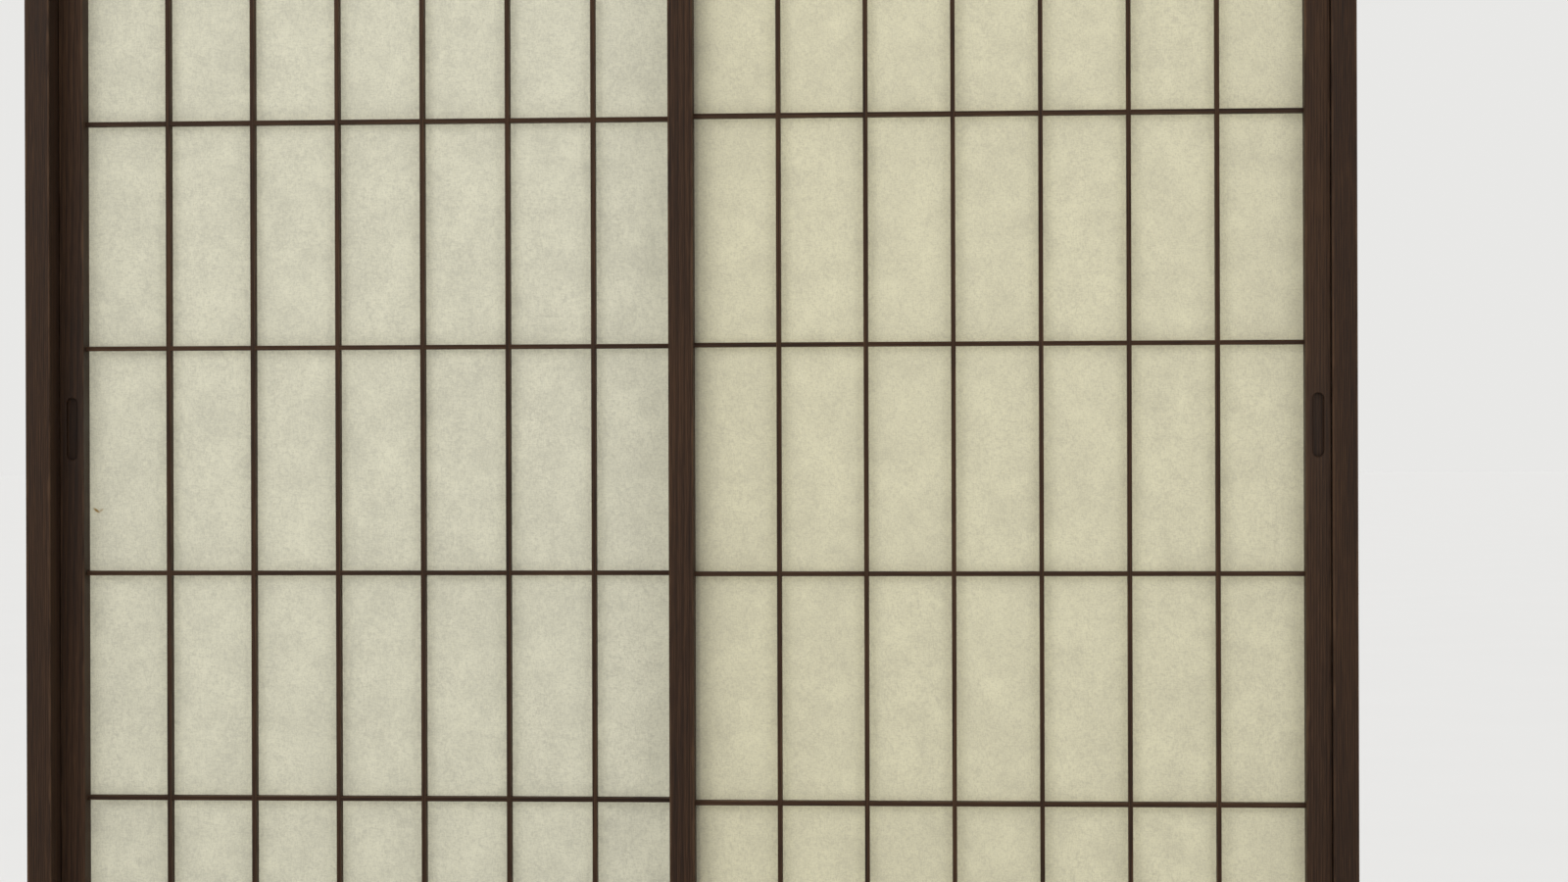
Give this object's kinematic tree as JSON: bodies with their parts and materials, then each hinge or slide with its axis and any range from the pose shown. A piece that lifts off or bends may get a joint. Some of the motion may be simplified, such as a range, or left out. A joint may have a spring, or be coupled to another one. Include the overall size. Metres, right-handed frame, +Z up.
{
  "type": "shoji sliding screen",
  "caption": "Pair of paper-covered lattice sliding panels that pass each other in the grooves of a dark-stained wooden frame.",
  "frame": {"origin": "centre of the sill's underside", "axes": "+X along the opening to the right as seen from the room, +Y from the room to the outside, +Z up"},
  "size_m": [1.772, 0.105, 1.989],
  "materials": {
    "frame_wood": "dark brown stain, satin, straight grain",
    "panel_wood": "dark brown stain, satin, straight grain",
    "lattice_wood": "dark brown stain, planed, fine straight grain",
    "runner_hardwood": "waxed oak, worn smooth",
    "shoji_paper": "translucent fibrous washi, matt",
    "screw_steel": "zinc plated"
  },
  "bodies": {
    "frame": {"sill": "frame_wood", "head": "frame_wood", "left_jamb": "frame_wood", "right_jamb": "frame_wood", "front_runner_strip": "runner_hardwood", "rear_runner_strip": "runner_hardwood", "frame_screws": "screw_steel"},
    "front_panel": {"front_panel_left_stile": "panel_wood", "front_panel_right_stile": "panel_wood", "front_panel_top_rail": "panel_wood", "front_panel_bottom_rail": "panel_wood", "front_panel_vertical_kumiko_1": "lattice_wood", "front_panel_vertical_kumiko_2": "lattice_wood", "front_panel_vertical_kumiko_3": "lattice_wood", "front_panel_vertical_kumiko_4": "lattice_wood", "front_panel_vertical_kumiko_5": "lattice_wood", "front_panel_vertical_kumiko_6": "lattice_wood", "front_panel_horizontal_kumiko_1": "lattice_wood", "front_panel_horizontal_kumiko_2": "lattice_wood", "front_panel_horizontal_kumiko_3": "lattice_wood", "front_panel_horizontal_kumiko_4": "lattice_wood", "front_panel_horizontal_kumiko_5": "lattice_wood", "front_panel_paper": "shoji_paper"},
    "rear_panel": {"rear_panel_left_stile": "panel_wood", "rear_panel_right_stile": "panel_wood", "rear_panel_top_rail": "panel_wood", "rear_panel_bottom_rail": "panel_wood", "rear_panel_vertical_kumiko_1": "lattice_wood", "rear_panel_vertical_kumiko_2": "lattice_wood", "rear_panel_vertical_kumiko_3": "lattice_wood", "rear_panel_vertical_kumiko_4": "lattice_wood", "rear_panel_vertical_kumiko_5": "lattice_wood", "rear_panel_vertical_kumiko_6": "lattice_wood", "rear_panel_horizontal_kumiko_1": "lattice_wood", "rear_panel_horizontal_kumiko_2": "lattice_wood", "rear_panel_horizontal_kumiko_3": "lattice_wood", "rear_panel_horizontal_kumiko_4": "lattice_wood", "rear_panel_horizontal_kumiko_5": "lattice_wood", "rear_panel_paper": "shoji_paper"}
  },
  "joints": [
    {"name": "front_panel_slide", "type": "slide", "parent": "frame", "child": "front_panel", "axis": [-1, 0, 0], "range_m": [0, 0.832]},
    {"name": "rear_panel_slide", "type": "slide", "parent": "frame", "child": "rear_panel", "axis": [1, 0, 0], "range_m": [0, 0.832]}
  ]
}
